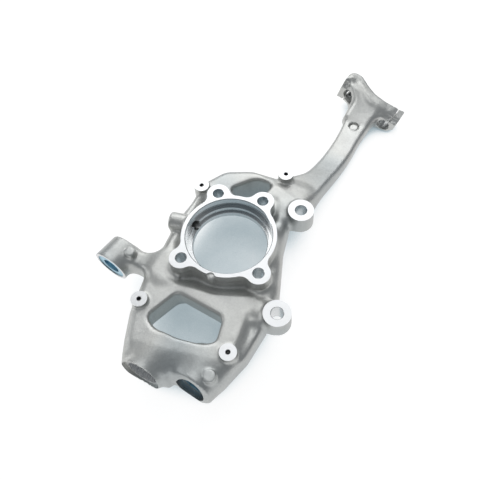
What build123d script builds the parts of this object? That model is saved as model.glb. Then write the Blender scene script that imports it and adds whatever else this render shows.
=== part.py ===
# Steering knuckle for a front suspension with two upper and two lower links, left side.
# Lengths are in millimetres. The hub axis is Z, with the bearing flange face at Z = 0 and
# +Z towards the wheel. +Y runs up to the link head and +X to the brake caliper.
import math
import os

from build123d import *

# How far a cutter reaches past what it cuts
clear = 20.0

# Bearing flange and seat
flange_ring_radius = 57.0
flange_thickness = 12.0
ear_radius = 14.0
ear_blend = 12.0
ear_depth = 24.0
ear_step = 1.0
hub_bolt_radius = 62.3
hub_bolt_hole = 6.5
high_bolt_angle = 27.0
low_bolt_angle = 47.3
seat_radius = 51.5
seat_depth = 13.0
seat_chamfer = 0.8
shoulder_radius = 47.8
shoulder_depth = 20.0
lip_radius = 45.2
hub_depth = 27.0

# Drain in the flange: a notch in the ring and the round nub under it
drain_angle = 264.2
drain_notch_middle = 58.2
drain_notch_radius = 5.0
drain_nub_middle = 57.0
drain_nub_radius = 4.5
drain_nub_face = -3.0

# Cast body: its outboard and inboard faces, and its soft edges
body_face = -18.0
body_back = -64.0
body_edge = 8.0
body_back_edge = 3.0
web_face = -31.0
web_back = -40.0
barrel_radius = 56.0
hub_pocket_radius = 55.0
hub_pocket_top = 74.0
hub_pocket_side = 11.0
window_back = -44.0
window_margin = 7.0

# Caliper lugs
caliper_x = 75.3
caliper_high_y = 60.5
caliper_spacing = 140.0
caliper_face = -12.0
caliper_lug_radius = 15.8
caliper_lug_depth = 26.0
caliper_hole = 7.2
lug_reach = 20.0
lug_reach_width = 24.0

# Splash shield bosses
shield_face = -12.0
shield_boss_radius = 9.6
shield_boss_depth = 20.0
shield_hole = 2.5
shield_hole_depth = 15.0
shield_spots = [(34.2, -134.0), (-79.9, -97.3), (-56.5, 72.3), (45.8, 112.6)]

# Wheel speed sensor boss
sensor_y = 13.5
sensor_z = -16.0
sensor_boss_radius = 11.5
sensor_boss_reach = 80.0
sensor_hole = 5.8

# Tie-rod arm
pin_lean = 19.0
tie_x = -131.65
tie_y = -40.9
tie_z = -33.0
tie_boss_radius = 23.0
tie_boss_back_radius = 20.5
tie_boss_length = 33.0
tie_bore = 19.0
tie_through_hole = 12.0
tie_boss_edge = 1.5
tie_sleeve_recess = 1.0
arm_edge = 6.0

# Lower link sockets
socket_z = -41.0
socket_boss_radius = 24.0
socket_length = 42.0
left_socket_x = -56.0
left_socket_y = -169.5
left_socket_bore = 18.0
left_socket_lean = 15.0
left_socket_tilt = 5.0
left_socket_depth = 30.0
flute_count = 14
flute_radius = 1.7
right_socket_x = 2.0
right_socket_y = -172.7
right_socket_tilt = 7.0
right_socket_bore = 17.5
right_socket_recess = 5.0

# Taper sleeves
sleeve_length = 22.0
link_sleeve_radius = 16.0
taper_mouth_radius = 11.0
taper_ratio = 0.1

# Swan neck
neck_edge = 4.5

# Link head
head_x = 136.0
head_y = 317.0
head_z = -59.0
head_lean = 19.0
head_turn = 15.0
head_left = -47.5
head_right = 54.0
rail_back = -16.0
rail_front = 17.5
lug_front = 7.0
left_pin = -31.0
left_lug_low = -6.5
left_lug_top = 10.0
right_pin = 38.0
right_lug_low = -21.0
right_lug_top = 0.0
gusset_left = -15.0
gusset_right = 16.0
pin_bore = 8.0
pin_reach = 50.0
pin_face_radius = 11.0
slit_width = 3.0
slit_turn = 22.0
pinch_bolt_hole = 5.2
pinch_bolt_length = 44.0
pinch_bolt_height = 11.0
pinch_bolt_middle = 12.0

# Round cast pads: x, y, face height, radius
pad_depth = 14.0
pad_spots = [(-112.3, -42.6, -9.5, 6.5), (21, -161.7, -16.5, 7.2)]

# Round pad let into the neck's slope
neck_pad_x = 120.7
neck_pad_y = 252.2
neck_pad_face = -53.0
neck_pad_radius = 7.5
neck_pad_gap = 1.0


def rounded_outline(corners):
    """A closed face from (x, y, corner radius) corners."""
    points = [(x, y) for x, y, _ in corners]
    radii = [r for _, _, r in corners]
    return make_face(FilletPolyline(*points, radius=radii, close=True))


def slab(corners, low, high):
    """An outline of rounded corners, standing between two heights."""
    return extrude(Pos(0, 0, low) * rounded_outline(corners), high - low, dir=(0, 0, 1))


def soft_top(solid, radius):
    """Round the edges of a solid's outboard face."""
    return fillet(solid.faces().sort_by(Axis.Z)[-1].edges(), radius)


def broken_back(solid, size):
    """Break the edges of a solid's inboard face."""
    return chamfer(solid.faces().sort_by(Axis.Z)[0].edges(), size)


def cast_section(width, depth, edge):
    """A rectangle with its corners cut off, for the lofts."""
    section = Rectangle(width, depth)
    return chamfer(section.vertices(), edge)


def hub_bolt_spots():
    """The four bearing bolts, which stand closer together above the axis than below it."""
    high = math.radians(high_bolt_angle)
    low = math.radians(low_bolt_angle)
    high_x, high_y = hub_bolt_radius * math.sin(high), hub_bolt_radius * math.cos(high)
    low_x, low_y = hub_bolt_radius * math.sin(low), -hub_bolt_radius * math.cos(low)
    return [(-high_x, high_y), (high_x, high_y), (-low_x, low_y), (low_x, low_y)]


def flange_profile():
    """The ring with its four ears and the hollows between them."""
    ears = [Pos(x, y) * Circle(ear_radius) for x, y in hub_bolt_spots()]
    ring = Circle(flange_ring_radius) + ears
    return fillet(ring.vertices(), ear_blend)


def hub_flange():
    flange = extrude(Pos(0, 0, -flange_thickness) * flange_profile(), flange_thickness, dir=(0, 0, 1))
    barrel = Pos(0, 0, web_back / 2) * Cylinder(barrel_radius, -web_back)
    ears = [Pos(x, y, -ear_depth / 2) * Cylinder(ear_radius - ear_step, ear_depth)
            for x, y in hub_bolt_spots()]
    return flange + barrel + ears - drain_notch() + drain_nub()


def on_drain(away):
    """A point of the drain's line in plan, at a distance from the hub axis."""
    angle = math.radians(drain_angle)
    return away * math.cos(angle), away * math.sin(angle)


def drain_notch():
    x, y = on_drain(drain_notch_middle)
    return Pos(x, y, (clear - flange_thickness) / 2) * Cylinder(drain_notch_radius, clear + flange_thickness)


def drain_nub():
    x, y = on_drain(drain_nub_middle)
    return Pos(x, y, (drain_nub_face - ear_depth) / 2) * Cylinder(drain_nub_radius, ear_depth + drain_nub_face)


def hub_bore():
    """The turned seat, shoulder and lip, as one stepped plug."""
    rim = seat_radius + seat_chamfer
    steps = [
        (0, clear), (rim, clear), (rim, 0), (seat_radius, -seat_chamfer), (seat_radius, -seat_depth),
        (shoulder_radius, -seat_depth), (shoulder_radius, -shoulder_depth),
        (lip_radius, -shoulder_depth), (lip_radius, -hub_depth), (hub_pocket_radius, web_back),
        (hub_pocket_radius, body_back - clear), (0, body_back - clear),
    ]
    section = make_face(Plane.XZ * Polyline(*steps, close=True))
    return revolve(section, Axis.Z)


body_corners = [
    (-80.5, -163.5, 12), (-90, -110, 40), (-89, -62, 40), (-81, -20, 60), (-76, 20, 40),
    (-66, 50, 40), (-60, 84, 24), (-36, 110, 30), (0, 118, 60), (52, 116, 30),
    (86, 112, 14), (84, 78, 12), (64, 58, 14), (63.5, 16, 60), (72, -50, 40), (68, -84, 20),
    (53, -131, 30), (35, -163, 20), (19, -181.5, 9), (-19, -168.6, 2), (-25, -176, 4), (-38, -174.2, 6),
]
window_corners = [(-42, -77, 9), (17, -95, 9), (17, -130, 12), (-52, -128, 14), (-66, -112, 8)]
loop_window_corners = [(-16, 80, 8), (-6, 68, 8), (20, 74, 8), (34, 100, 6), (2, 103, 14)]
valley_corners = [
    (-58, 66, 10), (-63, 30, 30), (-68, -15, 30), (-62, -62, 14), (0, -66, 30), (56, -62, 12),
    (58, -40, 20), (54, 10, 30), (61, 50, 16), (50, 92, 10), (34, 78, 10), (30, 0, 20), (-30, 0, 20),
    (-36, 60, 12),
]
groove_top = (53, -84)
groove_foot = (47, -138)
groove_radius = 5.0


def body_shell():
    """The deep rim and the lower box, hollowed from both sides."""
    shell = slab(body_corners, body_back, body_face)
    shell = soft_top(shell, body_edge)
    shell = broken_back(shell, body_back_edge)
    return shell


def body_hollows():
    """Valleys on the outboard side, the two windows, and the pockets behind them."""
    below = body_back - clear
    valley = slab(valley_corners, web_face, clear)
    run = Vector(*groove_foot) - Vector(*groove_top)
    groove = Plane(origin=(*groove_top, body_face), z_dir=run) * Pos(0, 0, run.length / 2) * Cylinder(
        groove_radius, run.length
    )
    window = slab(window_corners, below, clear)
    loop_window = slab(loop_window_corners, below, clear)
    window_pocket = extrude(
        Pos(0, 0, below) * offset(rounded_outline(window_corners), window_margin),
        window_back - below, dir=(0, 0, 1),
    )
    high_bolt_x = hub_bolt_spots()[1][0]
    pocket_outline = Circle(hub_pocket_radius) + Pos(0, hub_pocket_top / 2) * Rectangle(
        2 * (high_bolt_x + hub_pocket_side), hub_pocket_top
    )
    hub_pocket = extrude(Pos(0, 0, below) * pocket_outline, web_back - below, dir=(0, 0, 1))
    return [valley, groove, window, loop_window, window_pocket, hub_pocket]


def caliper_lugs():
    low = caliper_face - caliper_lug_depth
    lugs = []
    for y in (caliper_high_y, caliper_high_y - caliper_spacing):
        lugs.append(Pos(caliper_x, y, caliper_face - caliper_lug_depth / 2)
                    * Cylinder(caliper_lug_radius, caliper_lug_depth))
        lugs.append(Pos(caliper_x - lug_reach / 2, y, (body_face + low) / 2)
                    * Box(lug_reach, lug_reach_width, body_face - low))
    return lugs


def shield_bosses():
    return [Pos(x, y, shield_face - shield_boss_depth / 2) * Cylinder(shield_boss_radius, shield_boss_depth)
            for x, y in shield_spots]


def sensor_place():
    """The speed sensor's axis, which runs out to the front beside the hub axis."""
    return Plane(origin=(0, sensor_y, sensor_z), z_dir=(-1, 0, 0))


def sensor_boss():
    length = sensor_boss_reach - lip_radius
    return sensor_place() * Pos(0, 0, lip_radius + length / 2) * Cylinder(sensor_boss_radius, length)


def sensor_bore():
    """From inside the hub bore out through the boss."""
    start = lip_radius - sensor_boss_radius
    length = sensor_boss_reach + clear - start
    return sensor_place() * Pos(0, 0, start + length / 2) * Cylinder(sensor_hole, length)


def leaning(x, y, z, lean, tilt=0.0):
    """A place whose axis runs down and forward, leaning from -Y by one angle and outboard by another."""
    down = math.cos(math.radians(tilt))
    angle = math.radians(lean)
    axis = (-math.sin(angle) * down, -math.cos(angle) * down, math.sin(math.radians(tilt)))
    return Plane(origin=(x, y, z), x_dir=(0, 0, 1), z_dir=axis)


# Sections of the tie-rod arm: centre, slope in plan, depth and width
arm_stations = [
    (-127, -40, -33, -0.16, 34, 26),
    (-100, -43, -35, -0.1, 28, 26),
    (-76, -46, -36, 0, 36, 40),
]


def tie_place():
    """The tie rod's boss, with its axis out of the boss's open end."""
    return leaning(tie_x, tie_y, tie_z, pin_lean)


def tie_rod_arm():
    boss = tie_place() * Cone(tie_boss_back_radius, tie_boss_radius, tie_boss_length)
    boss = chamfer(boss.edges(), tie_boss_edge)
    sections = [
        Plane(origin=(x, y, z), x_dir=(0, 0, 1), z_dir=(1, slope, 0)) * cast_section(depth, width, arm_edge)
        for x, y, z, slope, depth, width in arm_stations
    ]
    return [boss, loft(sections)]


def tie_cuts():
    """The sleeve's seat, and a smaller hole right through for the end of the pin."""
    mouth = tie_boss_length / 2
    seat_length = tie_sleeve_recess + sleeve_length
    seat = tie_place() * Pos(0, 0, mouth - seat_length + (seat_length + clear) / 2) * Cylinder(
        tie_bore, seat_length + clear
    )
    through = tie_place() * Cylinder(tie_through_hole, tie_boss_length + 2 * clear)
    return [seat, through]


def left_socket_place():
    return leaning(left_socket_x, left_socket_y, socket_z, left_socket_lean, left_socket_tilt)


def right_socket_place():
    return leaning(right_socket_x, right_socket_y, socket_z, pin_lean, right_socket_tilt)


def link_sockets():
    """The two bored ends of the lower box, which lean like the ball pins."""
    return [place * Pos(0, 0, -socket_length / 2) * Cylinder(socket_boss_radius, socket_length)
            for place in (left_socket_place(), right_socket_place())]


def cast_pads():
    return [Pos(x, y, face - pad_depth / 2) * Cylinder(radius, pad_depth) for x, y, face, radius in pad_spots]


def socket_cuts():
    """The left socket's faced mouth and fluted bore, and the right one's counterbore and sleeve seat."""
    facing = left_socket_place() * Pos(0, 0, clear / 2) * Cylinder(socket_boss_radius, clear)
    bore_length = left_socket_depth + clear
    bore_middle = (clear - left_socket_depth) / 2
    bore = left_socket_place() * Pos(0, 0, bore_middle) * Cylinder(left_socket_bore, bore_length)
    flutes = [
        left_socket_place() * Rot(0, 0, 360 / flute_count * index) * Pos(left_socket_bore, 0, bore_middle)
        * Cylinder(flute_radius, bore_length)
        for index in range(flute_count)
    ]
    counterbore = right_socket_place() * Pos(0, 0, (clear - right_socket_recess) / 2) * Cylinder(
        right_socket_bore, clear + right_socket_recess
    )
    sleeve_seat = right_socket_place() * Pos(0, 0, -right_socket_recess - sleeve_length / 2) * Cylinder(
        link_sleeve_radius, sleeve_length
    )
    return [facing, bore, counterbore, sleeve_seat] + flutes


# Centre of the neck's outboard face, its width and its depth, from the loop up to the head
neck_stations = [
    (63, 98, -18, 54, 34, 38),
    (82, 133, -32, 37, 30, 44),
    (95, 167, -47, 34, 25, 28),
    (107, 203, -53, 34, 22, 18),
    (117, 241, -55, 34, 20, 14),
    (125, 272, -54, 39, 22, 12),
    (133, 305, -49, 46, 26, 16),
]


def swan_neck():
    """Sections square to the neck's line, joined by a smooth loft."""
    sections = []
    for x, y, face, width, depth, lean in neck_stations:
        angle = math.radians(lean)
        along = Vector(math.sin(angle), math.cos(angle), 0)
        across = Vector(math.cos(angle), -math.sin(angle), 0)
        place = Plane(origin=(x, y, face - depth / 2), x_dir=across, z_dir=along)
        sections.append(place * cast_section(width, depth, neck_edge))
    return loft(sections)


def neck_pad_pocket():
    height = clear + neck_pad_gap
    place = Pos(neck_pad_x, neck_pad_y, neck_pad_face - neck_pad_gap + height / 2)
    return place * Cylinder(neck_pad_radius + neck_pad_gap, height)


def neck_pad():
    return Pos(neck_pad_x, neck_pad_y, neck_pad_face - pad_depth / 2) * Cylinder(neck_pad_radius, pad_depth)


# The head's curved rail in its own place, seen from outboard: x, y and corner radius
rail_corners = [
    (head_left, 20.5, 11), (-29, 20.5, 16), (10, -3.5, 30), (head_right, 5.5, 1.5),
    (head_right, -15.5, 3), (0, -17, 22), (-35, 9.5, 9), (head_left, -7, 1),
]
# The left lug under the rail, seen from outboard, and the right one, seen along its pin
left_lug_corners = [
    (head_left, left_lug_top, 1), (0, left_lug_top, 1), (0, -18, 6), (-16, left_lug_low, 8),
    (head_left, left_lug_low, 1),
]
right_lug_corners = [(24, -13.5, 4), (36, -13.5, 8), (47, -9, 8), (head_right, 1, 3), (head_right, 12, 3), (24, 12, 4)]
# What is left off behind the right end of the rail, seen along its pin
right_relief_corners = [(34, -60, 1), (34, -14, 4), (46, -10, 10), (60, 2, 1), (60, -60, 1)]
# Section of the slope from the rail down to the neck: up the pins, outboard and corner radius
gusset_corners = [(-8, 16, 2), (-34, -1, 10), (-34, -14, 2), (-8, -14, 2)]


def head_place():
    """The link head's own place: X along it, Y up its pins, Z outboard."""
    turn = Rot(0, head_turn, 0)
    lean = Rot(0, 0, -head_lean)
    return Pos(head_x, head_y, head_z) * lean * turn


def pin_place(x):
    """The place of a ball pin's bore, turned so that its slit runs along Z."""
    return head_place() * Pos(x, 0, 0) * Rot(0, slit_turn, 0)


def across_pins(corners, low, high):
    """An outline given along the head and outboard, standing between two heights up the pins."""
    outline = rounded_outline([(x, -z, r) for x, z, r in corners])
    return head_place() * Rot(-90, 0, 0) * extrude(Pos(0, 0, low) * outline, high - low, dir=(0, 0, 1))


def link_head():
    place = head_place()
    rail = place * slab(rail_corners, rail_back, rail_front)
    left_lug = place * slab(left_lug_corners, rail_back, lug_front)
    right_lug = across_pins(right_lug_corners, right_lug_low, right_lug_top)
    gusset = place * Rot(0, 90, 0) * Rot(0, 0, 90) * slab(gusset_corners, gusset_left, gusset_right)
    rail -= across_pins(right_relief_corners, right_lug_low - clear, rail_front + clear)
    return [rail, left_lug, right_lug, gusset]


def head_cuts():
    """Each lug's pin bore and the face round its mouth, the slit beside it and the bolt that closes the slit."""
    through = 2 * pin_reach
    slit_depth = 2 * clear
    cuts = []
    for side, x, low in ((-1, left_pin, left_lug_low), (1, right_pin, right_lug_low)):
        pin = pin_place(x)
        cuts.append(pin * Rot(90, 0, 0) * Cylinder(pin_bore, through))
        cuts.append(pin * Pos(0, low - clear / 2, 0) * Rot(90, 0, 0) * Cylinder(pin_face_radius, clear))
        cuts.append(pin * Pos(0, 0, side * slit_depth / 2) * Box(slit_width, through, slit_depth))
        cuts.append(pin * Pos(side * pinch_bolt_middle, 0, side * pinch_bolt_height)
                    * Rot(0, 90, 0) * Cylinder(pinch_bolt_hole, pinch_bolt_length))
    return cuts


def machined_cuts():
    cuts = [hub_bore()]
    below = body_back - clear
    through = clear - below
    nut_height = -ear_depth - below
    for x, y in hub_bolt_spots():
        cuts.append(Pos(x, y, below + through / 2) * Cylinder(hub_bolt_hole, through))
        cuts.append(Pos(x, y, below + nut_height / 2) * Cylinder(ear_radius - ear_step, nut_height))
    for y in (caliper_high_y, caliper_high_y - caliper_spacing):
        cuts.append(Pos(caliper_x, y, below + through / 2) * Cylinder(caliper_hole, through))
    for x, y in shield_spots:
        cuts.append(Pos(x, y, shield_face - shield_hole_depth / 2) * Cylinder(shield_hole, shield_hole_depth))
    return cuts + [sensor_bore()] + tie_cuts() + socket_cuts() + head_cuts()


def knuckle_body():
    body = body_shell()
    for hollow in body_hollows():
        body -= hollow
    parts = [hub_flange(), swan_neck(), sensor_boss()]
    parts += caliper_lugs() + shield_bosses() + tie_rod_arm() + link_sockets() + link_head() + cast_pads()
    for piece in parts:
        body += piece
    body = body - neck_pad_pocket() + neck_pad()
    for cut in machined_cuts():
        body -= cut
    return body


def taper_sleeve(radius, place):
    """A turned insert whose taper opens along the place's axis."""
    small = taper_mouth_radius - taper_ratio * sleeve_length
    section = make_face(Plane.XZ * Polyline(
        (taper_mouth_radius, 0), (radius, 0), (radius, -sleeve_length), (small, -sleeve_length), close=True
    ))
    return place * revolve(section, Axis.Z)


def tie_rod_sleeve():
    return taper_sleeve(tie_bore, tie_place() * Pos(0, 0, tie_boss_length / 2 - tie_sleeve_recess))


def lower_link_sleeve():
    return taper_sleeve(link_sleeve_radius, right_socket_place() * Pos(0, 0, -right_socket_recess))


def main():
    os.makedirs("parts", exist_ok=True)
    export_step(knuckle_body(), "parts/knuckle_body.step")
    export_step(tie_rod_sleeve(), "parts/tie_rod_sleeve.step")
    export_step(lower_link_sleeve(), "parts/lower_link_sleeve.step")


main()
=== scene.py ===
import math

import bpy
import numpy as np
import openvdb
from mathutils import Matrix, Vector


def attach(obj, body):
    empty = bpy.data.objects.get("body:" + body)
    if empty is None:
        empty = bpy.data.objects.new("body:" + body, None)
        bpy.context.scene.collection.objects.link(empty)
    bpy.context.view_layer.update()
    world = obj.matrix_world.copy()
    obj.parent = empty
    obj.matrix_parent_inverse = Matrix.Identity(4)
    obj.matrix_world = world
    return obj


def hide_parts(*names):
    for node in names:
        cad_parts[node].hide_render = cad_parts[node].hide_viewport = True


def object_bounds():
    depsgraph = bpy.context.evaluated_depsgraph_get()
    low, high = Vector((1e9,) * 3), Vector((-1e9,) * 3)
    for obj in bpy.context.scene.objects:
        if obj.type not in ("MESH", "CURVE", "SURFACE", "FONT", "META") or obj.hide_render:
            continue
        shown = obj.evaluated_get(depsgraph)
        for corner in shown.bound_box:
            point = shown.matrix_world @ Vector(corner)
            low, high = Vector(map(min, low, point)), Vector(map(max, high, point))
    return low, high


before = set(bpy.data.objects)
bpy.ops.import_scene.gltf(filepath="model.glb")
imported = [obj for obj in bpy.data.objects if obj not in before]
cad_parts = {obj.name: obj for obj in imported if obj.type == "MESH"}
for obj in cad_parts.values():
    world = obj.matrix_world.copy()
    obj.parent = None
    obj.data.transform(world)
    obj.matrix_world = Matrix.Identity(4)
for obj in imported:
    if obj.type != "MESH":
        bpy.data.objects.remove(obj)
cadBounds = [list(corner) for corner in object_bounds()]
print("frame loaded", sorted(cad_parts))

# All dimensions are in millimetres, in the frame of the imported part, and meshes are made in metres.
metre = 0.001


# Outlines, as points round a closed curve

def filletedOutline(bends, arcSteps=8):
    # Each corner (x, y, r) becomes an arc of radius r that touches both of its edges.
    points = []
    count = len(bends)
    for i in range(count):
        before = np.array(bends[i - 1][:2], float)
        here = np.array(bends[i][:2], float)
        after = np.array(bends[(i + 1) % count][:2], float)
        radius = bends[i][2]
        toBefore = (before - here) / np.linalg.norm(before - here)
        toAfter = (after - here) / np.linalg.norm(after - here)
        half = math.acos(np.clip(toBefore @ toAfter, -1, 1)) / 2
        reach = radius / math.tan(half)
        middle = toBefore + toAfter
        centre = here + middle / np.linalg.norm(middle) * radius / math.sin(half)
        start = here + toBefore * reach - centre
        end = here + toAfter * reach - centre
        turn = math.atan2(start[0] * end[1] - start[1] * end[0], start @ end)
        angles = math.atan2(start[1], start[0]) + turn * np.linspace(0, 1, arcSteps + 1)
        points.append(centre + radius * np.stack([np.cos(angles), np.sin(angles)], 1))
    return np.concatenate(points)


def corners(outline):
    return outline.min(0), outline.max(0)


def polar(radius, angle):
    return radius * math.cos(angle), radius * math.sin(angle)


def outlineDistance(outline, x, y):
    # Distance to the nearest edge of a closed outline, negative inside it.
    best = np.full(x.shape, 1e9)
    inside = np.zeros(x.shape, bool)
    ends = np.roll(outline, -1, axis=0)
    for (ax, ay), (bx, by) in zip(outline, ends):
        ex, ey = bx - ax, by - ay
        wx, wy = x - ax, y - ay
        along = np.clip((wx * ex + wy * ey) / max(ex * ex + ey * ey, 1e-9), 0, 1)
        best = np.minimum(best, (wx - ex * along) ** 2 + (wy - ey * along) ** 2)
        crossing = ((ay > y) != (by > y)) & (wx < ex * wy / (ey if abs(ey) > 1e-9 else 1e-9))
        inside ^= crossing
    return np.where(inside, -1, 1) * np.sqrt(best)


# The casting is one field on a grid: the distance to its skin, negative inside the metal.
# Forms are added with a rounded minimum, which makes the fillets between them.

skin = {
    "cell": 1.5,
    "far": 50.0,
    "bandCells": 3,
    "sharpAngle": 32.0,
    "low": (-166.0, -192.0, -92.0),
    "high": (194.0, 356.0, 6.0),
}


def smoothMin(a, b, blend):
    # The smaller of two, rounded where they are within a blend of each other.
    if blend <= 0:
        return np.minimum(a, b)
    near = np.maximum(blend - np.abs(a - b), 0) / blend
    return np.minimum(a, b) - near * near * blend / 4


class Field:
    def __init__(self):
        self.cell = skin["cell"]
        self.low = np.array(skin["low"])
        counts = np.ceil((np.array(skin["high"]) - self.low) / self.cell).astype(int) + 1
        self.axes = [self.low[i] + self.cell * np.arange(counts[i]) for i in range(3)]
        self.values = np.full(counts, skin["far"], np.float32)

    def near(self, form, blend):
        # The part of the grid that a form can change, as slices, and the form's distances there.
        shape, low, high = form
        reach = blend + skin["bandCells"] * self.cell
        slices = []
        for i, count in enumerate(self.values.shape):
            first = np.floor((low[i] - reach - self.low[i]) / self.cell)
            last = np.ceil((high[i] + reach - self.low[i]) / self.cell) + 1
            slices.append(slice(int(np.clip(first, 0, count - 1)), int(np.clip(last, 1, count))))
        x, y, z = (axis[part] for axis, part in zip(self.axes, slices))
        return tuple(slices), shape(x[:, None, None], y[None, :, None], z[None, None, :])

    def add(self, form, blend):
        part, distances = self.near(form, blend)
        self.values[part] = smoothMin(self.values[part], distances, blend)

    def carve(self, form, blend):
        part, distances = self.near(form, blend)
        self.values[part] = -smoothMin(-self.values[part], distances, blend)


def rounded(side, level, edge):
    # Two distances at right angles, met in a round edge: the length of both where both are outside.
    side, level = side + edge, level + edge
    outside = np.hypot(np.maximum(side, 0), np.maximum(level, 0))
    return outside + np.minimum(np.maximum(side, level), 0) - edge


def sheets(x, y):
    # The places in plan, as two full sheets.
    return x[:, :, 0] + 0 * y[:, :, 0], y[:, :, 0] + 0 * x[:, :, 0]


# Each form is its distance and the two corners of the room that it fills.

def plate(outline, low, high, edge, draft=0.0):
    # An outline standing between two heights, its edges rounded and its wall leaning in by the draft.
    def shape(x, y, z):
        flat = outlineDistance(outline, *sheets(x, y))[:, :, None]
        highHere = high(x, y) if callable(high) else high
        side = flat + draft * (z - (low + highHere) / 2)
        return rounded(side, np.maximum(z - highHere, low - z), edge)
    (left, front), (right, back) = corners(outline)
    return shape, (left, front, low), (right, back, 0.0 if callable(high) else high)


def drum(centre, axis, radius, half, edge, taper=0.0):
    # A cylinder about an axis, its ends rounded, and growing by the taper along the axis.
    centre, axis = np.array(centre, float), np.array(axis, float)
    axis /= np.linalg.norm(axis)
    def shape(x, y, z):
        dx, dy, dz = x - centre[0], y - centre[1], z - centre[2]
        along = dx * axis[0] + dy * axis[1] + dz * axis[2]
        away = np.sqrt(np.maximum(dx * dx + dy * dy + dz * dz - along * along, 0))
        return rounded(away - radius - taper * along, np.abs(along) - half, edge)
    widest = radius + abs(taper) * half
    room = half * np.abs(axis) + widest * np.sqrt(np.maximum(1 - axis ** 2, 0))
    return shape, centre - room, centre + room


def post(x, y, top, radius, depth, edge, taper=0.0):
    # An upright drum, given by its top and its depth.
    return drum((x, y, top - depth / 2), (0, 0, 1), radius, depth / 2, edge, taper)


def bar(stations, edge, steps=160):
    # A rounded box section carried along a line in plan: (x, y, top, width, depth) at each station.
    # Between stations every measure follows a smooth curve through its values.
    places = np.array([s[:2] for s in stations], float)
    lengths = np.concatenate([[0], np.cumsum(np.linalg.norm(np.diff(places, axis=0), axis=1))])
    fine = np.linspace(0, lengths[-1], steps)
    curves = [smoothCurve(lengths, [s[i] for s in stations], fine) for i in range(5)]
    def shape(x, y, z):
        flatX, flatY = sheets(x, y)
        best = np.full(flatX.shape, 1e9)
        top, width, depth = (np.zeros(flatX.shape) for _ in range(3))
        for i in range(steps - 1):
            ax, ay, bx, by = curves[0][i], curves[1][i], curves[0][i + 1], curves[1][i + 1]
            ex, ey = bx - ax, by - ay
            along = np.clip(((flatX - ax) * ex + (flatY - ay) * ey) / (ex * ex + ey * ey), 0, 1)
            away = np.hypot(flatX - ax - ex * along, flatY - ay - ey * along)
            closer = away < best
            best = np.where(closer, away, best)
            for target, curve in ((top, curves[2]), (width, curves[3]), (depth, curves[4])):
                value = curve[i] + (curve[i + 1] - curve[i]) * along
                np.copyto(target, value, where=closer)
        middle = (top - depth / 2)[:, :, None]
        return rounded((best - width / 2)[:, :, None], np.abs(z - middle) - depth[:, :, None] / 2, edge)
    x, y, top, width, depth = np.array(stations, float).T
    low = ((x - width / 2).min(), (y - width / 2).min(), (top - depth).min())
    return shape, low, ((x + width / 2).max(), (y + width / 2).max(), top.max())


def smoothCurve(steps, values, fine):
    # A cubic through the values, with each slope the mean of its two neighbours' slopes.
    steps, values = np.array(steps, float), np.array(values, float)
    slopes = np.gradient(values, steps)
    index = np.clip(np.searchsorted(steps, fine, side="right") - 1, 0, len(steps) - 2)
    gap = steps[index + 1] - steps[index]
    t = (fine - steps[index]) / gap
    return ((2 * t ** 3 - 3 * t ** 2 + 1) * values[index] + (t ** 3 - 2 * t ** 2 + t) * gap * slopes[index]
            + (3 * t ** 2 - 2 * t ** 3) * values[index + 1] + (t ** 3 - t ** 2) * gap * slopes[index + 1])


# The cast forms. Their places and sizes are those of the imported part.

flange = {
    "ringRadius": 57.0,
    "ringSteps": 25,
    "earRadius": 14.0,
    "earSteps": 33,
    "earBlend": 12.0,
    "blendSteps": 9,
    "boltRadius": 62.3,
    "highAngle": 27.0,
    "lowAngle": 47.3,
    "thickness": 12.0,
    "stock": 4.0,
    "edge": 1.2,
    "draft": 0.03,
    "fillet": 2.5,
    "barrelRadius": 56.0,
    "barrelTop": -2.0,
    "barrelDepth": 40.0,
    "barrelTaper": -0.02,
    "barrelFillet": 10.0,
    "bossRadius": 13.4,
    "bossDepth": 32.0,
    "bossFillet": 9.0,
    "coreEdge": 1.0,
    "drainAngle": 264.2,
    "notchMiddle": 58.2,
    "notchRadius": 5.0,
    "notchFloor": -11.0,
    "nubMiddle": 57.0,
    "nubRadius": 4.5,
    "nubFace": -2.0,
    "nubDepth": 12.0,
    "nubEdge": 2.5,
    "nubFillet": 1.5,
}


def boltAngles():
    # Directions of the four bearing bolts, anticlockwise from +X.
    high, low = flange["highAngle"], flange["lowAngle"]
    return [math.radians(a) for a in (90 - high, 90 + high, 270 - low, 270 + low)]


def boltSpots():
    return [polar(flange["boltRadius"], angle) for angle in boltAngles()]


def arc(centre, radius, start, end, steps):
    angles = np.linspace(start, end, steps)
    return np.stack([centre[0] + radius * np.cos(angles), centre[1] + radius * np.sin(angles)], 1)


def flangeOutline():
    # The ring, with an ear at each bolt joined to it by two hollow arcs that touch both.
    ring, ear, blend, bolt = (flange[k] for k in ("ringRadius", "earRadius", "earBlend", "boltRadius"))
    away = ring + blend
    spread = math.acos((away ** 2 + bolt ** 2 - (ear + blend) ** 2) / (2 * away * bolt))
    pieces = []
    angles = boltAngles()
    for angle, after in zip(angles, angles[1:] + [angles[0] + 2 * math.pi]):
        spot = polar(bolt, angle)
        tips = []
        for side in (-1, 1):
            hollow = polar(away, angle + side * spread)
            toEar = math.atan2(spot[1] - hollow[1], spot[0] - hollow[0])
            toRing = angle + side * spread + math.pi
            turn = (toEar - toRing + math.pi) % (2 * math.pi) - math.pi
            tips.append((hollow, toRing, toRing + turn, toEar + math.pi))
        (before, beforeRing, beforeEar, earStart), (behind, behindRing, behindEar, earEnd) = tips
        sweep = (earEnd - earStart) % (2 * math.pi)
        pieces += [
            arc(before, blend, beforeRing, beforeEar, flange["blendSteps"]),
            arc(spot, ear, earStart, earStart + sweep, flange["earSteps"]),
            arc(behind, blend, behindEar, behindRing, flange["blendSteps"]),
            arc((0, 0), ring, angle + spread, after - spread, flange["ringSteps"]),
        ]
    return np.concatenate([piece[:-1] for piece in pieces])


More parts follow.
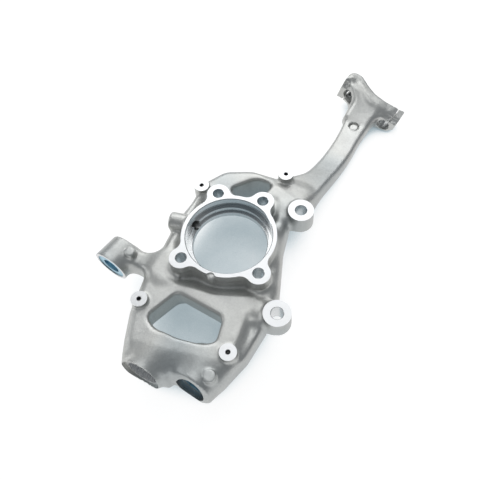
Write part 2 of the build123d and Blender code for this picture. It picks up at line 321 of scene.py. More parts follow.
body = {
    "face": -18.0,
    "back": -64.0,
    "clear": 20.0,
    "edge": 12.0,
    "outline": [
        (-80.5, -163.5, 12), (-90, -110, 40), (-89, -62, 40), (-81, -20, 60), (-76, 20, 40),
        (-66, 50, 40), (-60, 84, 24), (-36, 110, 30), (0, 118, 60), (52, 116, 30),
        (86, 112, 14), (84, 78, 12), (64, 58, 14), (63.5, 16, 60), (72, -50, 40), (68, -84, 20),
        (53, -131, 30), (35, -163, 20), (19, -181.5, 9), (-19, -168.6, 2), (-25, -176, 4), (-38, -174.2, 6),
    ],
    "valley": [
        (-58, 66, 10), (-63, 30, 30), (-68, -15, 30), (-66, -66, 14), (0, -71, 40), (54, -62, 12),
        (50, -40, 20), (47, 10, 30), (50, 50, 16), (46, 88, 10), (34, 78, 10), (30, 0, 20), (-30, 0, 20),
        (-36, 60, 12),
    ],
    "valleyDepth": 15.0,
    "valleySlope": (-2.0, 22.0),
    "footStart": -142.0,
    "footFall": 0.07,
    "footPower": 1.5,
    "shoulderWay": (0.5, 0.866),
    "shoulderStart": 100.0,
    "shoulderFall": 0.34,
    "window": [(-42, -77, 9), (17, -95, 9), (17, -130, 12), (-52, -128, 14), (-66, -112, 8)],
    "windowEdge": 0.5,
    "windowFillet": 5.0,
    "windowBack": -44.0,
    "windowMargin": 7.0,
    "loopWindow": [(-21, 80, 5), (-8, 68, 8), (20, 72, 8), (35, 98, 7), (8, 103, 24)],
    "groove": ((53.0, -84.0), (47.0, -138.0)),
    "grooveRadius": 6.0,
    "grooveRise": 1.5,
    "grooveEdge": 5.0,
    "grooveFillet": 8.0,
    "pocketRadius": 63.0,
    "pocketFillet": 2.0,
    "room": [(-53, 0, 1), (39.3, 0, 1), (39.3, 74, 8), (-28, 74, 8), (-53, 50, 8)],
    "webBack": -40.0,
    "innerEdge": 3.0,
}


def smoothStep(value, low, high):
    share = np.clip((value - low) / (high - low), 0, 1)
    return share * share * (3 - 2 * share)


def bodyTop(x, y):
    # The outboard face: level, sunk by a slope into the valley round the flange, and falling at the
    # foot and towards the neck.
    flatX, flatY = sheets(x, y)
    inValley = -outlineDistance(filletedOutline(body["valley"]), flatX, flatY)
    sunk = smoothStep(inValley, *body["valleySlope"]) * body["valleyDepth"]
    foot = np.maximum(body["footStart"] - flatY, 0) ** body["footPower"] * body["footFall"]
    wayX, wayY = body["shoulderWay"]
    shoulder = np.maximum(wayX * flatX + wayY * flatY - body["shoulderStart"], 0) * body["shoulderFall"]
    return (body["face"] - sunk - foot - shoulder)[:, :, None]


def offsetOutline(outline, margin):
    # Every point moved outwards along the mean of its two edges' normals.
    after = np.roll(outline, -1, axis=0) - outline
    along = after + np.roll(after, 1, axis=0)
    along /= np.maximum(np.linalg.norm(along, axis=1), 1e-9)[:, None]
    area = np.sum(outline[:, 0] * np.roll(outline[:, 1], -1) - np.roll(outline[:, 0], -1) * outline[:, 1])
    return outline + np.sign(area) * margin * np.stack([along[:, 1], -along[:, 0]], 1)


def castBody(field):
    field.add(plate(filletedOutline(body["outline"]), body["back"], bodyTop, body["edge"]), 0)
    below, clear, inner = body["back"] - body["clear"], body["clear"], body["innerEdge"]
    for name in ("window", "loopWindow"):
        opening = plate(filletedOutline(body[name]), below, clear, body["windowEdge"])
        field.carve(opening, body["windowFillet"])
    hollow = offsetOutline(filletedOutline(body["window"]), body["windowMargin"])
    field.carve(plate(hollow, below, body["windowBack"], inner), inner)
    start, end = (np.array((*spot, body["face"] + body["grooveRise"])) for spot in body["groove"])
    half = np.linalg.norm(end - start) / 2
    groove = drum((start + end) / 2, end - start, body["grooveRadius"], half, body["grooveEdge"])
    field.carve(groove, body["grooveFillet"])
    field.carve(plate(filletedOutline(body["room"]), below, body["webBack"], inner), inner)


def castHub(field):
    core, draft = flange["coreEdge"], -flange["draft"]
    barrel = post(0, 0, flange["barrelTop"], flange["barrelRadius"], flange["barrelDepth"], core,
                  flange["barrelTaper"])
    field.add(barrel, flange["barrelFillet"])
    for x, y in boltSpots():
        boss = post(x, y, 0, flange["bossRadius"], flange["bossDepth"], core, draft)
        field.add(boss, flange["bossFillet"])
    ring = plate(flangeOutline(), -flange["thickness"], flange["stock"], flange["edge"], flange["draft"])
    field.add(ring, flange["fillet"])
    depth = body["webBack"] - body["back"] + body["clear"]
    pocket = post(0, 0, body["webBack"], body["pocketRadius"], depth, body["innerEdge"])
    field.carve(pocket, body["pocketFillet"])
    drain = math.radians(flange["drainAngle"])
    x, y = polar(flange["notchMiddle"], drain)
    depth = body["clear"] - flange["notchFloor"]
    field.carve(post(x, y, body["clear"], flange["notchRadius"], depth, core), core)
    x, y = polar(flange["nubMiddle"], drain)
    nub = post(x, y, flange["nubFace"], flange["nubRadius"], flange["nubDepth"], flange["nubEdge"])
    field.add(nub, flange["nubFillet"])


def castBoss(field, x, y, part):
    # A boss with stock above its face, for the machining to take off.
    stock = flange["stock"]
    top, depth = part["face"] + stock, part["depth"] + stock
    boss = post(x, y, top, part["castRadius"], depth, part["edge"], -flange["draft"])
    field.add(boss, part["fillet"])


caliper = {
    "x": 75.3,
    "highY": 60.5,
    "spacing": 140.0,
    "face": -12.0,
    "castRadius": 16.2,
    "backRadius": 15.3,
    "depth": 26.0,
    "edge": 2.0,
    "fillet": 7.0,
    "web": [(-26, -13, 2), (-4, -12, 2), (-4, 12, 2), (-26, 13, 2)],
    "webDrop": 2.0,
    "webEdge": 4.0,
    "webFillet": 9.0,
}


def caliperSpots():
    return [(caliper["x"], caliper["highY"]), (caliper["x"], caliper["highY"] - caliper["spacing"])]


def castCaliperLugs(field):
    for x, y in caliperSpots():
        castBoss(field, x, y, caliper)
        web = filletedOutline([(x + u, y + v, radius) for u, v, radius in caliper["web"]])
        low, high = caliper["face"] - caliper["depth"], body["face"] - caliper["webDrop"]
        field.add(plate(web, low, high, caliper["webEdge"]), caliper["webFillet"])


shield = {
    "spots": [(34.2, -134.0), (-79.9, -97.3), (-56.5, 72.3), (45.8, 112.6)],
    "face": -12.0,
    "castRadius": 9.9,
    "depth": 20.0,
    "edge": 1.5,
    "fillet": 3.0,
}


def castShieldBosses(field):
    for x, y in shield["spots"]:
        castBoss(field, x, y, shield)


sensor = {"y": 13.5, "z": -16.0, "radius": 11.5, "reach": 80.0, "root": 50.0, "edge": 3.0, "fillet": 6.0}


def castSensorBoss(field):
    half = (sensor["reach"] - sensor["root"]) / 2
    centre = (-sensor["root"] - half, sensor["y"], sensor["z"])
    field.add(drum(centre, (-1, 0, 0), sensor["radius"], half, sensor["edge"]), sensor["fillet"])


tie = {
    "centre": (-131.65, -40.9, -33.0),
    "radius": 23.0,
    "backRadius": 20.5,
    "length": 33.0,
    "stock": 2.0,
    "edge": 2.5,
    "fillet": 7.0,
    "arm": [(-127, -40, -16, 26, 34), (-113, -42, -18, 26, 31), (-100, -43.5, -21, 25, 28),
            (-84, -45, -19, 34, 34), (-68, -46, -18, 50, 37)],
    "armRoom": ((-150.0, -80.0, -56.0), (-60.0, -15.0, -12.0)),
    "armEdge": 8.0,
    "armFillet": 9.0,
    "pad": (-112.3, -42.6, -9.5, 6.5, 12.0),
    "padEdge": 1.2,
    "padFillet": 2.0,
}

sockets = {
    "z": -41.0,
    "bossRadius": 24.0,
    "length": 42.0,
    "edge": 2.0,
    "fillet": 10.0,
    "left": (-56.0, -169.5),
    "leftLean": 15.0,
    "leftTilt": 5.0,
    "leftStock": 4.0,
    "right": (2.0, -172.7),
    "rightTilt": 7.0,
    "pinLean": 19.0,
    "pad": (21.0, -161.7, -16.5, 7.2, 16.0),
    "padEdge": 1.5,
    "padFillet": 3.0,
}


def leanAxis(lean, tilt=0.0):
    # The way out of a ball pin's bore: turned from -Y by the lean, and raised outboard by the tilt.
    angle, rise = math.radians(lean), math.radians(tilt)
    return np.array([-math.sin(angle) * math.cos(rise), -math.cos(angle) * math.cos(rise), math.sin(rise)])


def leftSocketAxis():
    return leanAxis(sockets["leftLean"], sockets["leftTilt"])


def rightSocketAxis():
    return leanAxis(sockets["pinLean"], sockets["rightTilt"])


def castTieArm(field):
    shape = bar(tie["arm"], tie["armEdge"])[0]
    field.add((shape, *tie["armRoom"]), tie["armFillet"])
    axis = leanAxis(sockets["pinLean"])
    centre = np.array(tie["centre"]) + axis * tie["stock"] / 2
    taper = (tie["radius"] - tie["backRadius"]) / tie["length"]
    radius = (tie["radius"] + tie["backRadius"]) / 2 + taper * tie["stock"] / 2
    half = (tie["length"] + tie["stock"]) / 2
    field.add(drum(centre, axis, radius, half, tie["edge"], taper), tie["fillet"])
    field.add(post(*tie["pad"], tie["padEdge"]), tie["padFillet"])


def castSockets(field):
    places = ((sockets["left"], leftSocketAxis(), sockets["leftStock"]),
              (sockets["right"], rightSocketAxis(), 0))
    for (x, y), axis, stock in places:
        half = (sockets["length"] + stock) / 2
        centre = np.array((x, y, sockets["z"])) - axis * (half - stock)
        field.add(drum(centre, axis, sockets["bossRadius"], half, sockets["edge"]), sockets["fillet"])
    field.add(post(*sockets["pad"], sockets["padEdge"]), sockets["padFillet"])


neck = {
    "stations": [
        (54, 84, -20, 46, 28), (66, 105, -26, 50, 30), (82, 133, -36, 37, 27), (95, 167, -47, 34, 25),
        (107, 203, -53, 34, 22), (117, 241, -55, 34, 20), (125, 272, -54, 39, 22), (133, 305, -49, 46, 26),
    ],
    "edge": 6.5,
    "fillet": 10.0,
    "pad": (120.4, 253.6, -54.0, 6.0, 10.0),
    "padEdge": 1.0,
    "padFillet": 0.5,
    "padGap": 1.6,
    "padWall": 5.0,
    "padShift": 2.5,
    "pocketEdge": 0.5,
    "pocketFillet": 1.0,
}

head = {
    "centre": (136.0, 317.0, -59.0),
    "lean": 19.0,
    "turn": 15.0,
    "left": -47.5,
    "right": 54.0,
    "back": -16.0,
    "front": 17.5,
    "room": (66.0, 52.0, 44.0),
    "rail": [(-47.5, 20.5, 11), (-29, 20.5, 16), (10, -3.5, 30), (60, 6.7, 1), (60, -15.3, 1), (0, -17, 22),
             (-35, 9.5, 9), (-47.5, -7, 0.5), (-53, -9, 0.5), (-53, 6, 0.5), (-47.5, 6, 0.5)],
    "railEdge": 3.5,
    "railFillet": 9.0,
    "leftLug": [(-53, 10, 1), (0, 10, 1), (0, -18, 6), (-16, -9.5, 8), (-53, -9.5, 1)],
    "leftLugFront": 7.0,
    "leftLugEdge": 2.5,
    "leftLugFillet": 8.0,
    "rightLug": [(24, -13.5, 4), (36, -13.5, 8), (47, -9, 8), (54, 1, 3), (60, 1, 0.5), (60, 12, 1),
                 (24, 12, 4)],
    "rightLugLow": -24.0,
    "rightLugEdge": 1.5,
    "rightLugFillet": 5.0,
    "relief": [(34, -60, 1), (34, -14, 4), (46, -10, 10), (60, 2, 1), (60, -60, 1)],
    "reliefHalf": 60.0,
    "reliefEdge": 0.5,
    "fan": [(-44, 8, 2), (-37, -7.5, 3), (-17, -24, 14), (-16, -52, 2), (16, -52, 2), (17, -40, 25),
            (30, -22, 6), (40, -8, 2), (40, 0, 2), (0, 0, 5)],
    "fanFoot": 3.0,
    "fanTop": 16.0,
    "fanRun": (-56.0, -8.0),
    "fanPower": 1.1,
    "fanRise": 2.0,
    "fanEdge": 4.0,
    "fanFillet": 10.0,
    "pins": [(-31.0, -6.5, -1), (38.0, -21.0, 1)],
}


def headTurn():
    # The head's own axes as columns: along its bolts, up its pins, outboard.
    return np.array(Matrix.Rotation(math.radians(-head["lean"]), 3, "Z")
                    @ Matrix.Rotation(math.radians(head["turn"]), 3, "Y"))


def inHead(shape):
    # A form given in the head's own place.
    turn, centre = headTurn(), np.array(head["centre"])
    def placed(x, y, z):
        dx, dy, dz = x - centre[0], y - centre[1], z - centre[2]
        own = [turn[0, i] * dx + turn[1, i] * dy + turn[2, i] * dz for i in range(3)]
        return shape(*own)
    room = np.array(head["room"])
    return placed, centre - room, centre + room


def headForm(outline, low, high, edge, plane="uv"):
    # An outline in one of the head's own planes, standing between two places on its third axis.
    outline = filletedOutline(outline)
    def shape(u, v, w):
        if plane == "uw":
            v, w = w, v
        return rounded(gridDistance(outline, u, v), np.maximum(w - high, low - w), edge)
    return shape


def headFan(u, v, w):
    # The web that opens from the neck to both lugs. Its front climbs by a power of the way to the rail.
    low, high = head["fanRun"]
    climb = np.clip((v - low) / (high - low), 0, 1) ** head["fanPower"]
    front = head["fanFoot"] + (head["fanTop"] - head["fanFoot"]) * climb
    level = np.maximum(w - front, head["back"] + head["fanRise"] - w)
    return rounded(gridDistance(filletedOutline(head["fan"]), u, v), level, head["fanEdge"])


def gridDistance(outline, x, y, step=0.5, margin=24):
    # The outline's distance read from a fine sheet of values, for places that are turned.
    low, high = corners(outline)
    low, high = low - margin, high + margin
    xs = np.arange(low[0], high[0], step)
    ys = np.arange(low[1], high[1], step)
    sheet = outlineDistance(outline, xs[:, None] + 0 * ys[None], ys[None] + 0 * xs[:, None])
    u = np.clip((x - low[0]) / step, 0, len(xs) - 1.001)
    v = np.clip((y - low[1]) / step, 0, len(ys) - 1.001)
    i, j = u.astype(int), v.astype(int)
    a, b = u - i, v - j
    return ((1 - a) * (1 - b) * sheet[i, j] + a * (1 - b) * sheet[i + 1, j]
            + (1 - a) * b * sheet[i, j + 1] + a * b * sheet[i + 1, j + 1])


def castNeckAndHead(field):
    field.add(bar(neck["stations"], neck["edge"]), neck["fillet"])
    field.add(inHead(headFan), head["fanFillet"])
    rail = headForm(head["rail"], head["back"], head["front"], head["railEdge"])
    relief = headForm(head["relief"], -head["reliefHalf"], head["reliefHalf"], head["reliefEdge"], "uw")
    field.add(inHead(lambda u, v, w: np.maximum(rail(u, v, w), -relief(u, v, w))), head["railFillet"])
    leftLug = headForm(head["leftLug"], head["back"], head["leftLugFront"], head["leftLugEdge"])
    field.add(inHead(leftLug), head["leftLugFillet"])
    rightLug = headForm(head["rightLug"], head["rightLugLow"], 0.0, head["rightLugEdge"], "uw")
    field.add(inHead(rightLug), head["rightLugFillet"])
    x, y, face, radius = neck["pad"][:4]
    floor, clear, reach = face - neck["padWall"], body["clear"], radius + neck["padGap"]
    pocket = post(x, y + neck["padShift"], floor + clear, reach, clear, neck["pocketEdge"])
    field.carve(pocket, neck["pocketFillet"])
    field.add(post(*neck["pad"], neck["padEdge"]), neck["padFillet"])


def keepInBox(field):
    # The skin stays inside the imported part's own box, but for the stock on its top faces.
    for axis in range(3):
        place = field.axes[axis].reshape([-1 if i == axis else 1 for i in range(3)])
        low, high = cadBounds[0][axis] / metre, cadBounds[1][axis] / metre
        if axis == 2:
            high += flange["stock"]
        field.values = np.maximum(field.values, np.maximum(low - place, place - high))


def castFieldMesh():
    field = Field()
    for cast in (castBody, castHub, castNeckAndHead, castCaliperLugs, castShieldBosses, castSensorBoss,
                 castTieArm, castSockets, keepInBox):
        cast(field)
    band = skin["bandCells"] * field.cell
    grid = openvdb.FloatGrid(band)
    grid.copyFromArray(np.clip(field.values, -band, band).astype(np.float32))
    points, quads = grid.convertToQuads(0.0)
    points = points * field.cell + field.low
    print("cast skin", len(points), "points", len(quads), "quads")
    return points * metre, quads


def newMesh(name, points, faces):
    mesh = bpy.data.meshes.new(name)
    mesh.vertices.add(len(points))
    mesh.vertices.foreach_set("co", np.asarray(points, np.float32).ravel())
    sides = faces.shape[1]
    mesh.loops.add(faces.size)
    mesh.loops.foreach_set("vertex_index", np.asarray(faces, np.int32).ravel())
    mesh.polygons.add(len(faces))
    mesh.polygons.foreach_set("loop_start", np.arange(0, faces.size, sides, dtype=np.int32))
    mesh.update(calc_edges=True)
    mesh.validate()
    obj = bpy.data.objects.new(name, mesh)
    bpy.context.scene.collection.objects.link(obj)
    return obj


# The machining: closed cutters with sharp edges, taken off the casting. What they cut is bright metal.

cuts = {
    "seatSteps": 192,
    "faceSteps": 64,
    "tapSteps": 32,
    "seat": [(52.3, 0.0), (51.5, -0.8), (51.5, -13.0), (47.8, -13.0), (47.8, -20.0), (45.9, -20.0),
             (45.2, -20.7), (45.2, -27.0), (55.0, -40.0)],
    "boltHole": 6.5,
    "boltSpotDepth": 24.0,
    "boltSpotRadius": 12.6,
    "hubFaceRadius": 84.0,
    "caliperFaceRadius": 19.5,
    "shieldFaceRadius": 13.0,
    "sensorFaceRadius": 12.0,
    "tieFaceRadius": 28.0,
    "caliperHole": 7.2,
    "shieldHole": 2.5,
    "shieldHoleDepth": 15.0,
    "shieldChamfer": 0.4,
    "drillPoint": 0.6,
    "sensorHole": 5.8,
    "sensorStart": 33.7,
    "holeChamfer": 0.5,
    "leftBore": 18.0,
    "leftDepth": 30.0,
    "fluteCount": 14,
    "fluteRadius": 1.7,
    "rightBore": 17.5,
    "rightRecess": 5.0,
    "rightSeat": 16.0,
    "sleeveLength": 22.0,
    "tieSeat": 19.0,
    "tieRecess": 1.0,
    "tieThrough": 12.0,
    "pinBore": 8.0,
    "pinReach": 50.0,
    "pinFaceRadius": 9.4,
    "slitWidth": 2.4,
    "slitTurn": 22.0,
    "pinchHole": 5.2,
    "pinchMiddle": 12.0,
    "pinchHeight": 11.0,
    "pinchLength": 44.0,
}


def axisPlace(origin, axis):
    # A place with its Z along an axis.
    turn = Vector(axis).normalized().to_track_quat("Z", "Y").to_matrix().to_4x4()
    return Matrix.Translation(Vector(origin)) @ turn


def closedMesh(name, points, faces, place, material):
    mesh = bpy.data.meshes.new(name)
    turn = np.array(place, float)
    points = np.asarray(points, float) @ turn[:3, :3].T + turn[:3, 3]
    mesh.from_pydata((points * metre).tolist(), [], faces)
    mesh.materials.append(material)
    return bpy.data.objects.new(name, mesh)


def turnedCutter(name, profile, place, material, steps=96):
    # A profile of (radius, height) from axis to axis, turned about Z.
    angles = np.arange(steps) * 2 * math.pi / steps
    points, rings = [], []
    for radius, height in profile:
        if radius == 0:
            rings.append([len(points)] * steps)
            points.append((0.0, 0.0, height))
        else:
            rings.append(list(range(len(points), len(points) + steps)))
            points += [(*polar(radius, angle), height) for angle in angles]
    faces = []
    for lower, upper in zip(rings, rings[1:]):
        for i in range(steps):
            j = (i + 1) % steps
            corner = [lower[i], upper[i], upper[j], lower[j]]
            faces.append([v for k, v in enumerate(corner) if v != corner[k - 1]])
    return closedMesh(name, points, faces, place, material)


def hole(name, radius, low, high, place, material, chamfer=0.0, surface=0.0, steps=48):
    # A drilled hole from low up to high, opened by a chamfer where it meets the surface.
    profile = [(0, high)]
    if chamfer > 0:
        wide = radius + chamfer
        profile += [(wide, high), (wide, surface), (radius, surface - chamfer)]
    else:
        profile += [(radius, high)]
    profile += [(radius, low), (0, low)]
    return turnedCutter(name, profile, place, material, steps)


def prismCutter(name, outline, low, high, place, material):
    count = len(outline)
    points = [(x, y, low) for x, y in outline] + [(x, y, high) for x, y in outline]
    faces = [list(range(count - 1, -1, -1)), list(range(count, 2 * count))]
    faces += [[i, (i + 1) % count, count + (i + 1) % count, count + i] for i in range(count)]
    return closedMesh(name, points, faces, place, material)


def flutedOutline(radius, count, flute, steps=560):
    # A circle with round flutes: within a flute the radius is that of the flute's own circle.
    angle = np.arange(steps) * 2 * math.pi / steps
    pitch = 2 * math.pi / count
    offset = (angle + pitch / 2) % pitch - pitch / 2
    across = radius * np.sin(offset)
    reach = radius * np.cos(offset) + np.sqrt(np.maximum(flute ** 2 - across ** 2, 0))
    away = np.where(np.abs(across) < flute, np.maximum(reach, radius), radius)
    return np.stack([away * np.cos(angle), away * np.sin(angle)], 1)


def faceCutter(name, radius, depth, place, material):
    # Takes off all that stands in front of a face.
    profile = [(0, depth), (radius, depth), (radius, 0), (0, 0)]
    return turnedCutter(name, profile, place, material, cuts["faceSteps"])


def allCutters(cast, machined, turned, drilled):
    clear = body["clear"]
    below = body["back"] - clear
    upright = Matrix.Identity(4)
    seat = cuts["seat"]
    seat = [(0, clear), (seat[0][0], clear)] + seat + [(seat[-1][0], below), (0, below)]
    made = [
        faceCutter("hubFace", cuts["hubFaceRadius"], clear, upright, machined),
        turnedCutter("hubBore", seat, upright, turned, cuts["seatSteps"]),
    ]
    chamfer = cuts["holeChamfer"]
    for i, (x, y) in enumerate(boltSpots()):
        place = Matrix.Translation((x, y, 0))
        made += [
            hole(f"bolt{i}", cuts["boltHole"], below, clear, place, turned, chamfer),
            hole(f"boltSpot{i}", cuts["boltSpotRadius"], below, -cuts["boltSpotDepth"], place, machined),
        ]
    for i, (x, y) in enumerate(caliperSpots()):
        place = Matrix.Translation((x, y, caliper["face"]))
        back = Matrix.Translation((x, y, caliper["face"] - caliper["depth"]))
        made += [
            faceCutter(f"caliperFace{i}", cuts["caliperFaceRadius"], clear, place, machined),
            hole(f"caliperHole{i}", cuts["caliperHole"], below, clear, place, turned, chamfer),
            hole(f"caliperBack{i}", caliper["backRadius"], below, 0, back, machined),
        ]
    depth, radius = cuts["shieldHoleDepth"], cuts["shieldHole"]
    mouth = radius + cuts["shieldChamfer"]
    tapped = [(0, clear), (mouth, clear), (mouth, 0), (radius, -cuts["shieldChamfer"]), (radius, -depth),
              (0, -depth - radius * cuts["drillPoint"])]
    for i, (x, y) in enumerate(shield["spots"]):
        place = Matrix.Translation((x, y, shield["face"]))
        made += [
            faceCutter(f"shieldFace{i}", cuts["shieldFaceRadius"], clear, place, machined),
            turnedCutter(f"shieldHole{i}", tapped, place, drilled, cuts["tapSteps"]),
        ]
    start, reach = cuts["sensorStart"], sensor["reach"]
    place = axisPlace((0, sensor["y"], sensor["z"]), (-1, 0, 0))
    end = place @ Matrix.Translation((0, 0, reach))
    made += [
        hole("sensorHole", cuts["sensorHole"], start, reach + clear, place, drilled, chamfer, reach),
        faceCutter("sensorFace", cuts["sensorFaceRadius"], clear, end, machined),
    ]
    return made + socketCutters(cast, machined, drilled) + headCutters(cast, machined, drilled)


def socketCutters(cast, machined, drilled):
    clear = body["clear"]
    left = axisPlace((*sockets["left"], sockets["z"]), leftSocketAxis())
    right = axisPlace((*sockets["right"], sockets["z"]), rightSocketAxis())
    fluted = flutedOutline(cuts["leftBore"], cuts["fluteCount"], cuts["fluteRadius"])
    axis = leanAxis(sockets["pinLean"])
    tieMouth = axisPlace(np.array(tie["centre"]) + axis * tie["length"] / 2, axis)
    length = cuts["sleeveLength"]
    recess, depth = cuts["rightRecess"], cuts["rightRecess"] + length
    counterbored = [(0, clear), (cuts["rightBore"], clear), (cuts["rightBore"], -recess),
                    (cuts["rightSeat"], -recess), (cuts["rightSeat"], -depth), (0, -depth)]
    depth, far = cuts["tieRecess"] + length, tie["length"] + clear
    stepped = [(0, clear), (cuts["tieSeat"], clear), (cuts["tieSeat"], -depth), (cuts["tieThrough"], -depth),
               (cuts["tieThrough"], -far), (0, -far)]
    return [
        faceCutter("leftFace", sockets["bossRadius"], clear, left, cast),
        prismCutter("leftBore", fluted, -cuts["leftDepth"], clear, left, machined),
        turnedCutter("rightBore", counterbored, right, drilled),
        faceCutter("tieFace", cuts["tieFaceRadius"], clear, tieMouth, machined),
        turnedCutter("tieBore", stepped, tieMouth, drilled),
    ]


def headCutters(cast, machined, drilled):
    place = Matrix.Translation(head["centre"]) @ Matrix(headTurn().tolist()).to_4x4()
    upPins = Matrix.Rotation(-math.pi / 2, 4, "X")
    alongBolt = Matrix.Rotation(math.pi / 2, 4, "Y")
    clear, reach = body["clear"], cuts["pinReach"]
    half = cuts["slitWidth"] / 2
    made = []
    left, right = head["left"], head["right"]
    for name, low, high in (("leftEnd", left - clear, left), ("rightEnd", right, right + clear)):
        block = [(low, -reach / 2), (high, -reach / 2), (high, reach / 2), (low, reach / 2)]
        made.append(prismCutter(name, block, -2 * clear, 2 * clear, place, machined))
    for u, low, side in head["pins"]:
        turn = Matrix.Rotation(math.radians(cuts["slitTurn"]), 4, "Y")
        pin = place @ Matrix.Translation((u, 0, 0)) @ turn
        upward = pin @ upPins
        name = "left" if side < 0 else "right"
        radius, far = cuts["pinFaceRadius"], low - clear
        face = [(0, low), (radius, low), (radius, far), (0, far)]
        outer = -side * 2 * clear
        slit = [(-half, 0), (half, 0), (half, outer), (-half, outer)][::side]
        offset = (side * cuts["pinchMiddle"], 0, side * cuts["pinchHeight"])
        bolt = pin @ Matrix.Translation(offset) @ alongBolt
        length = cuts["pinchLength"] / 2
        made += [
            turnedCutter(name + "PinFace", face, upward, cast, cuts["faceSteps"]),
            hole(name + "PinBore", cuts["pinBore"], -reach, reach, upward, drilled),
            prismCutter(name + "Slit", slit, -reach, reach, upward, cast),
            hole(name + "PinchHole", cuts["pinchHole"], -length, length, bolt, drilled),
        ]
    return made


def machine(casting, cutters):
    # Every cutter is taken off, and the cut faces keep the cutter's material.
    group = bpy.data.collections.new("cutters")
    bpy.context.scene.collection.children.link(group)
    for cutter in cutters:
        outward = cutter.data
        if signedVolume(outward) < 0:
            outward.flip_normals()
        group.objects.link(cutter)
        taken = casting.modifiers.new(cutter.name, "BOOLEAN")
        taken.object = cutter
        taken.operation = "DIFFERENCE"
        taken.solver = "MANIFOLD"
        taken.material_mode = "TRANSFER"
        bpy.context.view_layer.update()
        cutCasting = casting.evaluated_get(bpy.context.evaluated_depsgraph_get())
        result = bpy.data.meshes.new_from_object(cutCasting)
        if abs(signedVolume(result)) < 0.5 * abs(signedVolume(casting.data)):
            print("cutter failed", cutter.name)
        casting.modifiers.clear()
        old = casting.data
        casting.data = result
        bpy.data.meshes.remove(old)
    for cutter in cutters:
        bpy.data.objects.remove(cutter)
    bpy.data.collections.remove(group)
    return casting


def signedVolume(mesh):
    # A sixth of the triple product, summed over the triangles.
    mesh.calc_loop_triangles()
    points = np.empty(len(mesh.vertices) * 3, np.float64)
    mesh.vertices.foreach_get("co", points)
    points = points.reshape(-1, 3)
    corner = np.empty(len(mesh.loop_triangles) * 3, np.int32)
    mesh.loop_triangles.foreach_get("vertices", corner)
    a, b, c = points[corner.reshape(-1, 3).T]
    return float(np.sum(np.cross(a, b) * c) / 6)


# Finishes, worked out on Object coordinates

def newMaterial(name):
    material = bpy.data.materials.new(name)
    material.use_nodes = True
    tree = material.node_tree
    tree.nodes.clear()
    output = tree.nodes.new("ShaderNodeOutputMaterial")
    shader = tree.nodes.new("ShaderNodeBsdfPrincipled")
    tree.links.new(shader.outputs["BSDF"], output.inputs["Surface"])
    place = tree.nodes.new("ShaderNodeTexCoord")
    return material, tree, shader, place.outputs["Object"]


def noise(tree, place, scale, detail=2.0, roughness=0.5):
    node = tree.nodes.new("ShaderNodeTexNoise")
    node.inputs["Scale"].default_value = scale
    node.inputs["Detail"].default_value = detail
    node.inputs["Roughness"].default_value = roughness
    tree.links.new(place, node.inputs["Vector"])
    return node.outputs["Fac"]


def ramp(tree, value, stops):
    # Colours at places along a value from 0 to 1.
    node = tree.nodes.new("ShaderNodeValToRGB")
    points = node.color_ramp.elements
    while len(points) < len(stops):
        points.new(0.5)
    for point, (at, colour) in zip(points, stops):
        point.position = at
        point.color = (*colour, 1)
    tree.links.new(value, node.inputs["Fac"])
    return node.outputs["Color"]


def span(tree, value, low, high, outLow, outHigh):
    node = tree.nodes.new("ShaderNodeMapRange")
    for name, number in zip(("From Min", "From Max", "To Min", "To Max"), (low, high, outLow, outHigh)):
        node.inputs[name].default_value = number
    tree.links.new(value, node.inputs["Value"])
    return node.outputs["Result"]


def multiply(tree, a, b):
    node = tree.nodes.new("ShaderNodeMix")
    node.data_type = "RGBA"
    node.blend_type = "MULTIPLY"
    node.inputs[0].default_value = 1.0
    tree.links.new(a, node.inputs[6])
    tree.links.new(b, node.inputs[7])
    return node.outputs[2]


def dress(tree, shader, finish, colour, roughness, layers):
    # A colour or a roughness is a node's output or a plain value. Each layer is a height and its size in
    # metres, one bump on the next.
    for name, value in (("Base Color", colour), ("Roughness", roughness), ("Metallic", finish["metal"])):
        if isinstance(value, bpy.types.NodeSocket):
            tree.links.new(value, shader.inputs[name])
        else:
            shader.inputs[name].default_value = value
    normal = None
    for height, distance in layers:
        node = tree.nodes.new("ShaderNodeBump")
        node.inputs["Strength"].default_value = 1.0
        node.inputs["Distance"].default_value = distance
        tree.links.new(height, node.inputs["Height"])
        if normal is not None:
            tree.links.new(normal, node.inputs["Normal"])
        normal = node.outputs["Normal"]
    tree.links.new(normal, shader.inputs["Normal"])


castFinish = {
    "tones": [(0.30, (0.46, 0.49, 0.495)), (0.50, (0.565, 0.57, 0.55)), (0.74, (0.62, 0.63, 0.62))],
    "patch": 9.0,
    "speckles": [(0.30, (0.90, 0.90, 0.90)), (0.60, (1.0, 1.0, 1.0))],
    "speckle": 420.0,
    "roughness": (0.36, 0.46),
    "blotch": 45.0,
    "metal": 0.80,
    "grain": 900.0,
    "grainHeight": 0.00012,
    "wave": 90.0,
    "waveHeight": 0.00035,
}


def castMetal():
    # Cast skin: slow drifts between warm and cool grey, a fine grain, and a slight waviness.
    material, tree, shader, place = newMaterial("castAluminium")
    patch = ramp(tree, noise(tree, place, castFinish["patch"], 2.0, 0.4), castFinish["tones"])
    speckle = ramp(tree, noise(tree, place, castFinish["speckle"], 3.0, 0.6), castFinish["speckles"])
    blotch = noise(tree, place, castFinish["blotch"], 3.0)
    roughness = span(tree, blotch, 0.3, 0.7, *castFinish["roughness"])
    grain = noise(tree, place, castFinish["grain"], 3.0, 0.6)
    wave = noise(tree, place, castFinish["wave"], 2.0)
    dress(tree, shader, castFinish, multiply(tree, patch, speckle), roughness,
          [(grain, castFinish["grainHeight"]), (wave, castFinish["waveHeight"])])
    return material


machinedFinish = {
    "tones": [(0.3, (0.80, 0.81, 0.82)), (0.6, (0.84, 0.85, 0.855))],
    "cloud": 40.0,
    "roughness": 0.36,
    "metal": 0.65,
    "grain": 700.0,
    "grainHeight": 0.00001,
}

